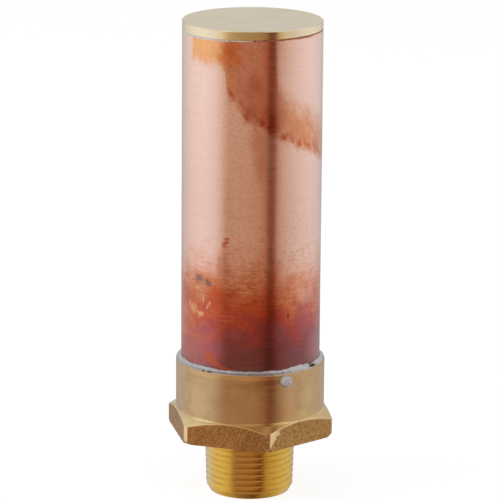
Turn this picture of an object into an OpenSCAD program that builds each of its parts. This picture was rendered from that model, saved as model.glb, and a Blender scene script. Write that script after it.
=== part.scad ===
// Piston water hammer arrestor: a copper barrel soldered into a brass hex adapter,
// closed by a brass end cap, with a sealed piston that rides on a cushion of gas.
// Millimetres, +Z up, origin at the centre of the nipple's end face.

/* [Barrel] */
// Outside diameter of the copper tube
tube_od = 41.28; // [30:0.01:60]
// Wall of the copper tube
tube_wall = 1.52; // [1:0.01:2.5]
// Length of tube that stands out of the collar
tube_reach = 98.9; // [70:0.1:200]

/* [Threaded nipple] */
// Outside diameter of the thread blank under the hex
thread_od = 26.67; // [20:0.01:28]
// Length of the nipple, from its end face to the hex
thread_len = 18.5; // [16:0.1:30]
// Length of the nipple that isn't tapered, under the hex
straight_len = 5.1; // [2:0.1:8]
// Length along the nipple for each millimetre that the taper takes off its diameter
taper_ratio = 16; // [12:1:32]
// Height of the lead-in chamfer at the nipple's end
lead_h = 1.9; // [0.5:0.1:3]
// Depth of the lead-in chamfer, measured on the radius
lead_depth = 1.1; // [0.3:0.1:1.6]
// Diameter of the water inlet through the nipple
inlet_d = 18; // [10:0.1:19]
// Chamfer on the mouth of the inlet
inlet_chamfer = 0.4; // [0.1:0.1:0.6]

/* [Hex] */
// Height of the hex, at the foot of the collar
hex_h = 7.4; // [5:0.1:12]
// Hex across flats, beyond the diameter of the collar
hex_oversize = 0.6; // [0.1:0.01:4]
// Angle of the turned chamfer on top of the hex
hex_chamfer_angle = 30; // [15:1:40]
// Depth that the turning takes off the hex corners
corner_cut = 0.45; // [0.1:0.05:1]
// Height of the small chamfer under the hex corners
corner_foot_h = 0.7; // [0.4:0.1:2]
// Depth of the small chamfer under the hex corners
corner_foot_depth = 0.5; // [0.3:0.1:1.2]

/* [Collar] */
// Wall of the collar round the socket
collar_wall = 1.42; // [1:0.01:3]
// Height of the collar above the hex
collar_h = 15; // [10:0.1:25]
// Depth of the socket that takes the tube
socket_depth = 13; // [8:0.1:18]
// Break on the outer edge of the collar's rim
rim_break = 0.25; // [0.1:0.05:0.5]
// Width of the flat ring that the piston rests on
piston_seat_w = 4; // [2:0.1:5]
// Angle of the flare between the inlet and the piston's seat, from the axis
flare_angle = 50; // [35:1:60]

/* [End cap] */
// Height of the cap's rim above the tube
cap_rim_h = 2.55; // [1.5:0.05:6]
// Length of the cap's spigot inside the tube
spigot_len = 6; // [3:0.1:12]
// Break on the cap's top edge
cap_edge = 0.25; // [0.1:0.05:0.6]
// Chamfer on the spigot's nose
spigot_chamfer = 0.8; // [0.2:0.1:1.5]

/* [Solder] */
// Height of the fillet against the tube, above the collar
fillet_rise = 1.15; // [0.6:0.05:2.5]
// Thickness of the fillet at the collar's outer edge
fillet_lip = 0.3; // [0.15:0.05:0.5]
// Thickness of the solder line under the cap
cap_joint_h = 0.4; // [0.2:0.05:0.8]
// Diameter of the frozen drip on the collar
drip_d = 3.6; // [2:0.1:6]
// Height that the drip stands off the collar
drip_h = 0.55; // [0.3:0.05:0.9]
// Direction of the drip round the axis, from +X
drip_angle = -44; // [-180:1:180]
// Distance from the collar's rim to the middle of the drip
drip_drop = 2.1; // [2:0.1:6]

/* [Piston] */
// Length of the piston
piston_len = 28; // [24:0.1:45]
// Thickness of the piston's floor, on the water side
piston_floor = 7; // [4:0.1:9]
// Wall of the piston behind the seal grooves
piston_back = 3.4; // [2:0.1:5]
// Chamfer on the piston's edges
piston_chamfer = 1; // [0.3:0.1:1.5]
// Distance from each end of the piston to its seal groove
groove_inset = 4; // [2:0.1:5]

/* [Seals] */
// Thickness of the O-ring's section before it is squeezed
ring_section = 3.53; // [2.5:0.01:4]
// Share of the section that the fit squeezes out of the O-ring
ring_squeeze = 0.18; // [0.1:0.01:0.25]
// Width of each seal groove
groove_w = 4.8; // [4.5:0.1:6]

/* [Fits] */
// Gap between the tube and the collar's socket
solder_gap = 0.08; // [0.04:0.01:0.15]
// Gap between the piston and the tube
piston_gap = 0.1; // [0.05:0.01:0.3]
// Gap between a squeezed O-ring and the faces that it seals
ring_gap = 0.03; // [0.01:0.01:0.05]
// Gap between the cap's spigot and the tube
spigot_gap = 0.06; // [0.03:0.01:0.15]

/* [Hidden] */
$fn = 96;
// Facets round a large cylinder where it trims a piece as small as the drip
fine_fn = 360;

// Finishes
turned_brass = "#b8955c";
drawn_copper = "#d39c82";
faced_brass = "#cbbd97";
grey_solder = "#a9a8a6";
white_acetal = "#e9e6dc";
black_rubber = "#26272a";

// Overlap that lets one cut run cleanly through another
cut = 1;

// Radii, from the axis outwards
inlet_r = inlet_d / 2;
thread_r = thread_od / 2;
tube_r = tube_od / 2;
bore_r = tube_r - tube_wall;
spigot_r = bore_r - spigot_gap;
socket_r = tube_r + solder_gap;
collar_r = socket_r + collar_wall;
flat_r = collar_r + hex_oversize / 2;
corner_r = flat_r / cos(30);
turned_r = corner_r - corner_cut;
flare_r = bore_r - piston_gap - piston_seat_w;

// Levels, from the nipple's end face upwards
hex_top = thread_len + hex_h;
collar_top = hex_top + collar_h;
seat_z = collar_top - socket_depth;
tube_top = collar_top + tube_reach;
cap_foot = tube_top + cap_joint_h;
cap_top = cap_foot + cap_rim_h;

// Piston and its seals
piston_r = bore_r - piston_gap;
gland = ring_section * (1 - ring_squeeze);
groove_r = bore_r - gland;
well_r = groove_r - piston_back;
lower_groove_z = seat_z + groove_inset;
upper_groove_z = seat_z + piston_len - groove_inset - groove_w;

// Radius of the tapered nipple at a height above its end face
function taper_r(z) = thread_r - max(0, thread_len - straight_len - z) / taper_ratio / 2;

// Centre of the arc of a given radius through two points, on the left of the way from a to b
function arc_centre(a, b, r) =
    let (half = (b - a) / 2, h = norm(half))
    a + half + [-half[1], half[0]] / h * sqrt(r * r - h * h);

// The nipple's blank: a lead-in chamfer, the pipe taper and a straight stretch under the hex
module nipple() {
    rotate_extrude()
        polygon([
            [0, 0],
            [taper_r(lead_h) - lead_depth, 0],
            [taper_r(lead_h), lead_h],
            [thread_r, thread_len - straight_len],
            [thread_r, thread_len],
            [0, thread_len],
        ]);
}

// The hex, with its corners turned down and its top chamfered to meet the collar
module hex_flange() {
    chamfer_drop = (turned_r - collar_r) * tan(hex_chamfer_angle);
    intersection() {
        translate([0, 0, thread_len])
            cylinder(r = corner_r, h = hex_h, $fn = 6);
        rotate_extrude()
            polygon([
                [0, thread_len],
                [turned_r - corner_foot_depth, thread_len],
                [turned_r, thread_len + corner_foot_h],
                [turned_r, hex_top - chamfer_drop],
                [collar_r, hex_top],
                [0, hex_top],
            ]);
    }
}

// The round collar above the hex
module collar() {
    rotate_extrude()
        polygon([
            [0, hex_top - cut],
            [collar_r, hex_top - cut],
            [collar_r, collar_top - rim_break],
            [collar_r - rim_break, collar_top],
            [0, collar_top],
        ]);
}

// The passage through the adapter: inlet mouth, inlet bore, flare and tube socket
module waterway() {
    flare_h = (flare_r - inlet_r) / tan(flare_angle);
    rotate_extrude()
        polygon([
            [0, -cut],
            [inlet_r + inlet_chamfer + cut, -cut],
            [inlet_r, inlet_chamfer],
            [inlet_r, seat_z - flare_h],
            [flare_r, seat_z],
            [socket_r, seat_z],
            [socket_r, collar_top + cut],
            [0, collar_top + cut],
        ]);
}

// Brass adapter, turned from hex bar: threaded nipple, hex and socket collar in one piece
module hex_adapter() {
    color(turned_brass)
        difference() {
            union() {
                nipple();
                hex_flange();
                collar();
            }
            waterway();
        }
}

// Hard-drawn copper tube, seated on the floor of the socket
module barrel_tube() {
    color(drawn_copper)
        translate([0, 0, seat_z])
            difference() {
                cylinder(r = tube_r, h = tube_top - seat_z);
                translate([0, 0, -cut])
                    cylinder(r = bore_r, h = tube_top - seat_z + 2 * cut);
            }
}

// Brass end cap: a rim flush with the tube, and a spigot that plugs it
module end_cap() {
    color(faced_brass)
        rotate_extrude()
            polygon([
                [0, cap_foot - spigot_len],
                [spigot_r - spigot_chamfer, cap_foot - spigot_len],
                [spigot_r, cap_foot - spigot_len + spigot_chamfer],
                [spigot_r, cap_foot],
                [tube_r, cap_foot],
                [tube_r, cap_top - cap_edge],
                [tube_r - cap_edge, cap_top],
                [0, cap_top],
            ]);
}

// Solder fillet on the collar's rim, sweeping up to the tube with a hollow face
module collar_solder() {
    foot_in = tube_r + ring_gap;
    foot_out = collar_r - rim_break;
    crest = [foot_in + fillet_lip / 2, collar_top + fillet_rise];
    lip = [foot_out, collar_top + fillet_lip];
    hollow_r = norm(lip - crest);
    color(grey_solder)
        rotate_extrude()
            difference() {
                polygon([
                    [foot_in, collar_top],
                    [foot_out, collar_top],
                    lip,
                    crest,
                    [foot_in, collar_top + fillet_rise],
                ]);
                translate(arc_centre(crest, lip, hollow_r))
                    circle(r = hollow_r);
            }
}

// Drip of solder that ran over the rim and froze on the side of the collar
module solder_drip() {
    ball_r = (pow(drip_d / 2, 2) + drip_h * drip_h) / (2 * drip_h);
    color(grey_solder)
        difference() {
            rotate([0, 0, drip_angle])
                translate([collar_r + drip_h - ball_r, 0, collar_top - drip_drop])
                    sphere(r = ball_r);
            translate([0, 0, collar_top - drip_drop - ball_r - cut])
                cylinder(r = collar_r, h = 2 * (ball_r + cut), $fn = fine_fn);
        }
}

// Solder line between the end of the tube and the cap
module cap_solder() {
    color(grey_solder)
        translate([0, 0, tube_top])
            difference() {
                cylinder(r = tube_r, h = cap_joint_h);
                translate([0, 0, -cut])
                    cylinder(r = bore_r, h = cap_joint_h + 2 * cut);
            }
}

// Acetal piston: a cup open to the gas, with two seal grooves, at rest on the adapter's seat
module piston() {
    piston_top = seat_z + piston_len;
    color(white_acetal)
        rotate_extrude()
            difference() {
                polygon([
                    [0, seat_z],
                    [piston_r - piston_chamfer, seat_z],
                    [piston_r, seat_z + piston_chamfer],
                    [piston_r, piston_top - piston_chamfer],
                    [piston_r - piston_chamfer, piston_top],
                    [well_r, piston_top],
                    [well_r, seat_z + piston_floor],
                    [0, seat_z + piston_floor],
                ]);
                for (z = [lower_groove_z, upper_groove_z])
                    translate([groove_r, z])
                        square([gland + cut, groove_w]);
            }
}

// O-ring in its groove, flattened against the groove's floor and the tube
module o_ring(groove_z) {
    in_r = groove_r + ring_gap;
    out_r = bore_r - ring_gap;
    color(black_rubber)
        rotate_extrude()
            intersection() {
                translate([(in_r + out_r) / 2, groove_z + groove_w / 2])
                    circle(d = ring_section);
                translate([in_r, groove_z])
                    square([out_r - in_r, groove_w]);
            }
}

module upper_o_ring() { o_ring(upper_groove_z); }

module lower_o_ring() { o_ring(lower_groove_z); }

hex_adapter();
barrel_tube();
end_cap();
collar_solder();
solder_drip();
cap_solder();
piston();
upper_o_ring();
lower_o_ring();
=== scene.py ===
"""Water hammer arrestor: a copper barrel soldered into a brass hex adapter, with a piston inside."""

import math
from functools import cached_property

import bpy
import numpy as np
from bpy.props import FloatProperty, FloatVectorProperty, PointerProperty
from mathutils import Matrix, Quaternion, Vector


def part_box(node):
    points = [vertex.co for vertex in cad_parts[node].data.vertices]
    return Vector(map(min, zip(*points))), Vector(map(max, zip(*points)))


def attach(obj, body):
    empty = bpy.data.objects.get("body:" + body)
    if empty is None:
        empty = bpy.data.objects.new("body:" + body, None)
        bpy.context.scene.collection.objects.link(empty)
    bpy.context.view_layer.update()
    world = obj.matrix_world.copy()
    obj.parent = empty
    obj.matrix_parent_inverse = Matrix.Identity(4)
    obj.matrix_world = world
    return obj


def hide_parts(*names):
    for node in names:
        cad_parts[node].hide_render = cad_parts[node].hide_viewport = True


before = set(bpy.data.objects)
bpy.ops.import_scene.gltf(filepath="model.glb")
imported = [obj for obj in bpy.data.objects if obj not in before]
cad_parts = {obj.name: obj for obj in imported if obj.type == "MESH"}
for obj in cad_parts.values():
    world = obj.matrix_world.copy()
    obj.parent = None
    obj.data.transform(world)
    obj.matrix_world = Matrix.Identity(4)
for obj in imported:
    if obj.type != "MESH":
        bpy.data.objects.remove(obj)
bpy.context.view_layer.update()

bl_info = {
    "name": "Water hammer arrestor",
    "version": (1, 0, 0),
    "blender": (4, 5, 0),
    "location": "3D View > Sidebar > Arrestor",
    "description": "Builds a soldered copper and brass water hammer arrestor on its CAD frame",
    "category": "Object",
}

# The CAD box and the places that the pieces take from it, in metres
ADAPTER_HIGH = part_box("hex_adapter")[1]
TUBE_LOW, TUBE_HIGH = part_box("barrel_tube")
CAP_LOW, CAP_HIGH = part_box("end_cap")
FILLET_LOW, FILLET_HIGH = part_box("collar_solder")
DRIP_LOW, DRIP_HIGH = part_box("solder_drip")
LINE_LOW, LINE_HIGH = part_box("cap_solder")
PISTON_LOW, PISTON_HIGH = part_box("piston")
SEALS = ("upper_o_ring", "lower_o_ring")

MM = 0.001
SIXTH = math.pi / 3
WHITE = (1.0, 1.0, 1.0)
# Radius of the innermost row of a turned face, which a fan closes
CAP_POLE = 0.6 * MM
PISTON_POLE = 0.5 * MM
# Studio floor and drum of panels, in metres, and the lamps with their places and shares of the power
FLOOR_RADIUS, FLOOR_POLE, FLOOR_DEPTH = 4.0, 0.02, 0.05
FLOOR_GREY, FLOOR_GLOW = 0.30, 0.84
DRUM_RADIUS, DRUM_POLE, DRUM_BULGE = 2.0, 0.05, 0.3
DRUM_FOOT, DRUM_HEAD = -2.0, 2.5
LAMP_SIZE = 0.6
LAMP_AIM = Vector((0.0, 0.0, 0.07))
LAMPS = {"lamp_left": ((-0.7, -0.5, 0.75), 1.0), "lamp_right": ((0.8, -0.4, 0.60), 0.7)}

# Lower edge of the stain under the cap: degrees from the front, positive to the right, and height in mm
STAIN_FOOT = np.array((
    (-180, 134), (-58, 133.4), (-42, 132.8), (-30, 132.9), (-26.5, 132.2), (-22.5, 131.0), (-20.5, 124.2),
    (-14, 122.3), (-11, 120.4), (-5, 116.6), (3, 115.4), (10, 114.8), (16, 113), (23, 111.6),
    (31, 110.2), (40, 108.5), (55, 106.2), (74, 103.5), (95, 101), (130, 104), (180, 110),
))
# Upper edge of the same stain, above the tube's end on the left
STAIN_CREST = np.array((
    (-180, 190), (17, 190), (19, 140), (20.5, 125.2), (24.5, 123.4), (33, 121.2), (42, 120.2), (51, 119),
    (60, 116.8), (68.5, 114.6), (80, 112.5), (100, 110), (125, 107), (180, 110),
))
# Patches of the copper's tint: degrees from the front, height in mm, half width in degrees, half height in mm
TINT_PATCHES = {
    "veil": ((5, 111, 10, 7.5), (7, 104, 8, 8), (2, 127, 11, 6), (120, 92, 14, 10)),
    "haze": ((-52, 47, 34, 11), (70, 46, 22, 8), (-150, 50, 40, 10)),
    "plum": ((50, 56, 22, 9), (66, 50, 18, 7), (23, 53.5, 11, 5), (-14, 53, 8, 3), (-41, 53, 14, 4),
             (-36, 48.3, 18, 3), (125, 55, 30, 10), (-120, 52, 26, 8)),
    "blush": ((-22, 73.5, 5, 9.5), (-26, 73, 5, 7), (-45, 65, 14, 5), (140, 74, 10, 8)),
    "gold": ((-53, 59.2, 8, 2.6), (-46, 57.8, 6, 1.3), (-49, 65.4, 4.5, 0.8), (-23.6, 78.0, 2.6, 0.9),
             (150, 60, 14, 4)),
    "rust": ((-19.6, 81.3, 3.2, 0.9), (-20.6, 80.5, 2.9, 0.9), (-22.8, 79.5, 2.8, 0.9), (-31, 62.4, 13, 6.5),
             (-35, 45, 8, 2.4), (-29, 43.4, 6, 1.6), (-21, 42.2, 9, 1.2), (-2, 61, 9, 1.7), (9, 59.2, 8, 1.6),
             (-7, 59, 4, 1.3), (-3, 56.5, 3.5, 1.2), (1, 54.6, 3.5, 1.0), (50, 139.9, 34, 0.45),
             (100, 80, 7, 5), (-150, 62, 12, 8)),
    "rose": ((53, 62.8, 14, 3.4), (-120, 64, 16, 4)),
    "crimson": ((1, 53.6, 5.5, 0.9), (2, 50.4, 9, 2), (40, 52, 9, 4), (-14, 65.2, 9, 4), (4, 63.4, 5, 0.9),
                (-3, 62.2, 6, 1.0), (0, 57.4, 10, 2.2), (150, 50, 20, 4)),
    "smoke": ((26, 53, 5, 2.5), (5, 42.6, 13, 1.6), (34, 43.4, 7, 1.4), (-12, 42, 8, 0.9), (160, 44, 20, 2)),
    "ash": ((-48, 68.3, 8, 1.9), (-44.5, 68.9, 4, 1.3), (-37.2, 67.8, 5.5, 1.5), (-26.3, 44.5, 2, 1.0)),
    "scratch": ((-42.5, 62.5, 1.3, 1.5), (-35.6, 61.3, 1.7, 0.9), (-38.2, 60.2, 1.6, 0.8), (95, 66, 3, 2)),
    "nick": ((32, 58.2, 1.0, 1.8),),
    "ember": ((-19, 136.4, 7.5, 4.4), (-15, 138.4, 9, 2.0), (-25, 134.2, 4.5, 2.0), (-12, 134.4, 4.6, 2.2),
              (-17, 123.8, 3.4, 1.7), (34, 110.4, 3, 1.2), (42, 109, 3.4, 1.2), (55, 107.4, 4, 1.2),
              (100, 112, 12, 8)),
    "blot": ((-2.5, 118.4, 7.5, 3.4), (8, 115.8, 5, 1.4), (15, 115, 5, 4), (25, 111.6, 5, 1.3)),
    "specks": ((42, 80, 42, 14), (0, 71, 30, 8), (150, 80, 40, 10)),
}
# Painted yellow reflection low on the collar, and reddish clouds there with painted shade on its right edge,
# placed like the patches of tint
STRAW = ((45, 28, 11, 2.0), (56, 27.2, 7, 1.2), (-170, 30, 14, 2.5))
RUDDY = ((28.5, 29.4, 11, 3.4), (70, 33, 13, 11), (-150, 31, 16, 4))
# The studio's panels round the object: degrees from the camera's side, positive to the right, and a colour
PANELS = np.array((
    (-180, 0.70, 0.70, 0.70), (-172, 0.66, 0.66, 0.66), (-164, 0.52, 0.51, 0.50), (-154, 0.62, 0.62, 0.62),
    (-140, 0.76, 0.76, 0.76), (-110, 0.95, 0.95, 0.95), (-85, 1.00, 1.00, 1.00), (-72, 0.95, 0.94, 0.93),
    (-63, 0.91, 0.89, 0.87), (-54, 0.83, 0.76, 0.70), (-46, 0.67, 0.52, 0.41), (-41, 0.59, 0.41, 0.28),
    (-37, 0.56, 0.37, 0.25), (-30, 0.62, 0.44, 0.31), (0, 0.60, 0.41, 0.28), (14, 0.56, 0.36, 0.24),
    (23, 0.53, 0.26, 0.15), (28, 0.19, 0.066, 0.032), (36, 0.17, 0.064, 0.031), (40, 0.41, 0.19, 0.13),
    (44, 0.62, 0.43, 0.335), (60, 0.72, 0.62, 0.54), (88, 0.86, 0.83, 0.79), (114, 0.90, 0.90, 0.90),
    (140, 0.78, 0.78, 0.78), (154, 0.64, 0.64, 0.64), (164, 0.54, 0.53, 0.52), (172, 0.66, 0.66, 0.66),
    (180, 0.70, 0.70, 0.70),
))


def length(name, description, default):
    """A property that holds a length in metres."""
    return FloatProperty(name=name, description=description, default=default, min=0.0,
                         precision=5, unit="LENGTH", subtype="DISTANCE")


def angle(name, description, degrees):
    """A property that holds an angle, given here in degrees."""
    return FloatProperty(name=name, description=description, default=math.radians(degrees),
                         unit="ROTATION", subtype="ANGLE")


def colour(name, description, default):
    """A property that holds a linear colour."""
    return FloatVectorProperty(name=name, description=description, default=default,
                               min=0.0, max=1.0, size=3, subtype="COLOR")


def plain(name, description, default):
    """A property that holds a plain number."""
    return FloatProperty(name=name, description=description, default=default)


class ArrestorSizes(bpy.types.PropertyGroup):
    """Lengths and angles of the arrestor's pieces."""

    # Nipple and its thread
    nipple_length: length("Nipple length", "From the end face up to the hex", 0.0185)
    thread_radius: length("Thread radius", "Radius over the crests at the thread's large end", 0.013335)
    thread_pitch: length("Thread pitch", "Height of one turn of the thread", 0.001814)
    thread_depth: length("Thread depth", "Depth of the groove between two crests", 0.00019)
    thread_stop: length("Thread stop", "Plain stretch between the groove and the hex", 0.0003)
    thread_runout: length("Thread runout", "Height over which the groove fades out", 0.001)
    straight_length: length("Straight length", "Stretch under the hex that doesn't taper", 0.0051)
    taper_ratio: plain("Taper ratio", "Length over which the diameter grows by one", 16.0)
    lead_height: length("Lead-in height", "Height of the cone at the nipple's end", 0.0019)
    lead_depth: length("Lead-in depth", "How far that cone comes in", 0.0011)
    inlet_radius: length("Inlet radius", "Radius of the waterway", 0.009)
    inlet_chamfer: length("Inlet chamfer", "Chamfer at the waterway's mouth", 0.0004)
    flare_radius: length("Flare radius", "Radius of the waterway under the piston", 0.01502)
    flare_height: length("Flare height", "Height over which the waterway opens", 0.00505)

    # Hex and collar
    hex_height: length("Hex height", "Height of the hex", 0.0074)
    hex_chamfer: angle("Hex chamfer", "Slope of the turned chamfer on the hex", 30.0)
    foot_height: length("Corner foot height", "Height of the break under each corner", 0.0007)
    foot_depth: length("Corner foot depth", "Depth of the break under each corner", 0.0005)
    hex_edge: length("Hex edge", "Width of the worn edge round the hex", 0.00012)
    root_width: length("Collar root", "Width of the tool's rounding at the collar's root", 0.0004)
    collar_radius: length("Collar radius", "Outer radius of the socket collar", FILLET_HIGH.x + 0.00025)
    socket_radius: length("Socket radius", "Radius of the socket that takes the tube", TUBE_HIGH.x + 0.00008)
    rim_break: length("Rim break", "Broken edge round the collar's rim", 0.00025)

    # Barrel and cap
    tube_wall: length("Tube wall", "Thickness of the copper", 0.00152)
    tube_wave: length("Tube wave", "Height of the drawn tube's faint waves", 0.000022)
    spigot_radius: length("Spigot radius", "Radius of the cap's plug in the tube", 0.01906)
    spigot_length: length("Spigot length", "Length of that plug", 0.006)
    spigot_chamfer: length("Spigot chamfer", "Chamfer on the plug's nose", 0.0008)
    cap_edge: length("Cap edge", "Broken edge round the cap", 0.00025)
    cap_lip: length("Cap lip", "Broken edge at the foot of the cap's rim", 0.00008)
    end_tilt: length("End tilt", "How far the tube's end is out of square at its edge", 0.00039)
    face_step: length("Facing step", "Depth of the turning marks on the cap's face", 0.000001)
    face_pitch: length("Facing pitch", "Distance between two of those marks", 0.001)
    face_border: length("Facing border", "Plain border round those marks", 0.0006)

    # Piston and seals
    piston_floor: length("Piston floor", "Thickness of the piston's floor", 0.007)
    piston_well: length("Piston well", "Radius of the piston's well", 0.012825)
    piston_chamfer: length("Piston chamfer", "Chamfer on the piston's ends", 0.001)
    well_break: length("Well break", "Broken edge at the well's mouth", 0.0003)
    well_fillet: length("Well fillet", "Slope between the well's wall and its floor", 0.0008)
    groove_radius: length("Groove radius", "Radius at the bottom of the seal grooves", 0.016225)
    groove_width: length("Groove width", "Width of the seal grooves", 0.0048)
    ring_inner: length("Seal radius", "Inner radius of the seals", 0.016255)
    ring_section: length("Seal section", "Thickness of the seals before they are squeezed", 0.00353)


class ArrestorFinishes(bpy.types.PropertyGroup):
    """Colours of the arrestor's metals and plastics."""

    copper: colour("Copper", "Clean drawn copper", (0.84, 0.57, 0.49))
    collar_brass: colour("Collar brass", "Turned brass, dulled by heat", (0.56, 0.38, 0.205))
    chamfer_brass: colour("Chamfer brass", "Turned brass of the chamfer and the corners", (0.82, 0.62, 0.335))
    thread_brass: colour("Thread brass", "Freshly cut brass", (0.745, 0.462, 0.075))
    flat_brass: colour("Flat brass", "Rough flats of the hex bar", (0.40, 0.22, 0.08))
    cap_brass: colour("Cap brass", "Faced brass of the cap", (0.85, 0.73, 0.53))
    rim_brass: colour("Cap rim brass", "Turned brass of the cap's rim", (0.87, 0.74, 0.53))
    solder: colour("Solder", "Frozen tin solder", (0.66, 0.66, 0.67))
    acetal: colour("Acetal", "Turned white acetal", (0.80, 0.79, 0.74))
    rubber: colour("Rubber", "Black seal rubber", (0.020, 0.020, 0.022))


class ArrestorStudio(bpy.types.PropertyGroup):
    """Camera and light of the studio."""

    azimuth: angle("Azimuth", "Camera's angle round the object", 18.0)
    elevation: angle("Elevation", "Camera's angle above the floor", 13.893)
    distance: length("Distance", "From the camera to its target", 1.04178)
    target: length("Target height", "Height that the camera looks at", 0.075)
    lens: plain("Lens", "Focal length in mm", 253.44)
    pan: plain("Pan", "Small turn of the camera sideways, in radians", 0.000308)
    tilt: plain("Tilt", "Small turn of the camera up or down, in radians", -0.001438)
    roll: angle("Roll", "Turn of the camera about its own axis", 0.443)
    lamp_power: plain("Lamp power", "Power of the stronger soft lamp in watts", 3.0)
    fill: plain("Fill", "Even light from all round on dull surfaces", 0.45)


def settings(context):
    """The scene's sizes, finishes and studio."""
    scene = context.scene
    return scene.arrestor_sizes, scene.arrestor_finishes, scene.arrestor_studio


def front_turn(studio):
    """Angle about the axis, from +X, of the side that faces the camera."""
    return studio.azimuth - math.pi / 2


def degrees_from_front(turns, studio):
    """Angles about the axis as degrees from the camera's side, from -180 to 180."""
    return np.degrees(np.mod(turns - front_turn(studio) + math.pi, math.tau) - math.pi)


def end_slant(sizes, turns, studio):
    """Height of the tube's slanting end over its mean: tilt times the sine of the angle from the front."""
    return sizes.end_tilt * np.sin(turns - front_turn(studio))


def even_turns(count):
    """Equal steps once round the axis."""
    return np.arange(count) * (math.tau / count)


def bell(value, centre, width, power=2):
    """Bell of height 1 round the centre: exp(-((value - centre) / width) to the power)."""
    return np.exp(-((value - centre) / width) ** power)


def rise(value, start, run):
    """Straight rise from 0 at start to 1 at start + run, which falls where the run is negative."""
    return np.clip((value - start) / run, 0, 1)


def profile(start, *legs):
    """Bands of rows along straight legs: start + (end - start) * row / count, without the end itself.

    A leg gives its end's radius and height and its count of rows, and the next leg starts there.
    """
    bands = []
    for radius, height, count in legs:
        share = (np.arange(count) / count)[:, None]
        bands.append(tuple(a + (b - a) * share for a, b in zip(start, (radius, height))))
        start = (radius, height)
    return bands


def lathe(bands, turns):
    """Points of bands of (radius, height) rows turned about the axis: (r cos t, r sin t, z)."""
    radius = np.concatenate([np.broadcast_to(r, (len(r), len(turns))) for r, z in bands])
    height = np.concatenate([np.broadcast_to(z, (len(z), len(turns))) for r, z in bands])
    return np.stack((radius * np.cos(turns), radius * np.sin(turns), height), axis=-1)


def ripple(turns, height, waves, seed):
    """Mean of cosines of whole waves round the axis and waves per metre of height, with seeded phases."""
    around, along = np.array(waves, float).T
    phase = np.random.default_rng(seed).uniform(0, math.tau, len(around))
    swing = np.multiply.outer(turns, around) + np.multiply.outer(height, along * math.tau)
    return np.cos(swing + phase).mean(axis=-1)


def wander(turns, counts, seed):
    """Ripple of these whole waves round the axis alone."""
    return ripple(turns, 0 * turns, [(count, 0) for count in counts], seed)


def patches(side, height, places):
    """Largest of 1 - ((side - s) / w, (height - h) / t) taken as a length, over places (s, h, w, t)."""
    best = np.full(side.shape, -4.0)
    for s, h, w, t in places:
        best = np.maximum(best, 1 - np.hypot((side - s) / w, (height - h) / t))
    return best


def grid_mesh(name, points, ring=True, corner=35.0):
    """Closed mesh on a grid of rows and columns whose columns run round the axis.

    Each face joins a row to the next and a column to the next. With ring the last row joins
    the first; without it the first and the last row are each closed by a fan round a pole.
    Edges that turn by more than corner, in degrees, are shaded sharp.
    """
    rows, columns = points.shape[:2]
    index = np.arange(rows * columns).reshape(rows, columns)
    beside = np.roll(index, -1, axis=1)
    quads = np.stack((index, beside, np.roll(beside, -1, axis=0), np.roll(index, -1, axis=0)), axis=-1)
    spots = points.reshape(-1, 3)
    fans = np.empty((0, 3), int)
    if not ring:
        quads = quads[:-1]
        foot = np.full(columns, rows * columns)
        fans = np.concatenate((
            np.stack((beside[0], index[0], foot), axis=-1),
            np.stack((index[-1], beside[-1], foot + 1), axis=-1),
        ))
        spots = np.concatenate((spots, points[0].mean(axis=0)[None], points[-1].mean(axis=0)[None]))
    corners = np.concatenate((quads.ravel(), fans.ravel()))
    count = quads.size // 4
    starts = np.concatenate((np.arange(count) * 4, count * 4 + np.arange(len(fans)) * 3))
    mesh = bpy.data.meshes.new(name)
    mesh.vertices.add(len(spots))
    mesh.vertices.foreach_set("co", spots.ravel())
    mesh.loops.add(len(corners))
    mesh.loops.foreach_set("vertex_index", corners.astype(np.int32))
    mesh.polygons.add(len(starts))
    mesh.polygons.foreach_set("loop_start", starts.astype(np.int32))
    mesh.polygons.foreach_set("use_smooth", np.ones(len(starts), bool))
    mesh.update(calc_edges=True)
    mesh.set_sharp_from_angle(angle=math.radians(corner))
    return mesh


def paint(mesh, points, **layers):
    """Stores one number a vertex under each layer's name; poles take the mean of the values."""
    for name, values in layers.items():
        values = np.broadcast_to(values, points.shape[:2])
        filled = np.full(len(mesh.vertices), float(values.mean()))
        filled[:values.size] = values.ravel()
        mesh.attributes.new(name, "FLOAT", "POINT").data.foreach_set("value", filled)


def show(mesh, *materials):
    """Puts the mesh into the scene at the origin under its own name, with its materials."""
    for material in materials:
        mesh.materials.append(material)
    piece = bpy.data.objects.new(mesh.name, mesh)
    bpy.context.scene.collection.objects.link(piece)
    return piece


def tone(shade, gain):
    """A colour times one number or three, at most 1 a channel."""
    return tuple(np.minimum(np.multiply(tuple(shade), gain), 1.0))


class Nodes:
    """A node tree, and short ways to add nodes to it."""

    def __init__(self, tree):
        self.tree = tree

    def feed(self, socket, value):
        """Links an output to the socket, or sets the socket's own value."""
        if isinstance(value, bpy.types.NodeSocket):
            self.tree.links.new(value, socket)
        elif socket.type == "RGBA":
            socket.default_value = (*value, 1.0)
        else:
            socket.default_value = value

    def node(self, kind, sockets=None, **options):
        """Adds a node with these options and sockets."""
        made = self.tree.nodes.new(kind)
        for key, value in options.items():
            setattr(made, key, value)
        for key, value in (sockets or {}).items():
            self.feed(made.inputs[key], value)
        return made

    def math(self, operation, *numbers, **options):
        """A sum, product or other operation on numbers."""
        made = self.node("ShaderNodeMath", dict(enumerate(numbers)), operation=operation, **options)
        return made.outputs["Value"]

    def times(self, product, *factors):
        """Product of numbers."""
        for factor in factors:
            product = self.math("MULTIPLY", product, factor)
        return product

    def seen_directly(self):
        """Light Path sum that is 1 for camera, glossy and transmission rays."""
        rays = self.node("ShaderNodeLightPath").outputs
        seen = self.math("ADD", rays["Is Camera Ray"], rays["Is Glossy Ray"])
        return self.math("ADD", seen, rays["Is Transmission Ray"], use_clamp=True)


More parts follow.
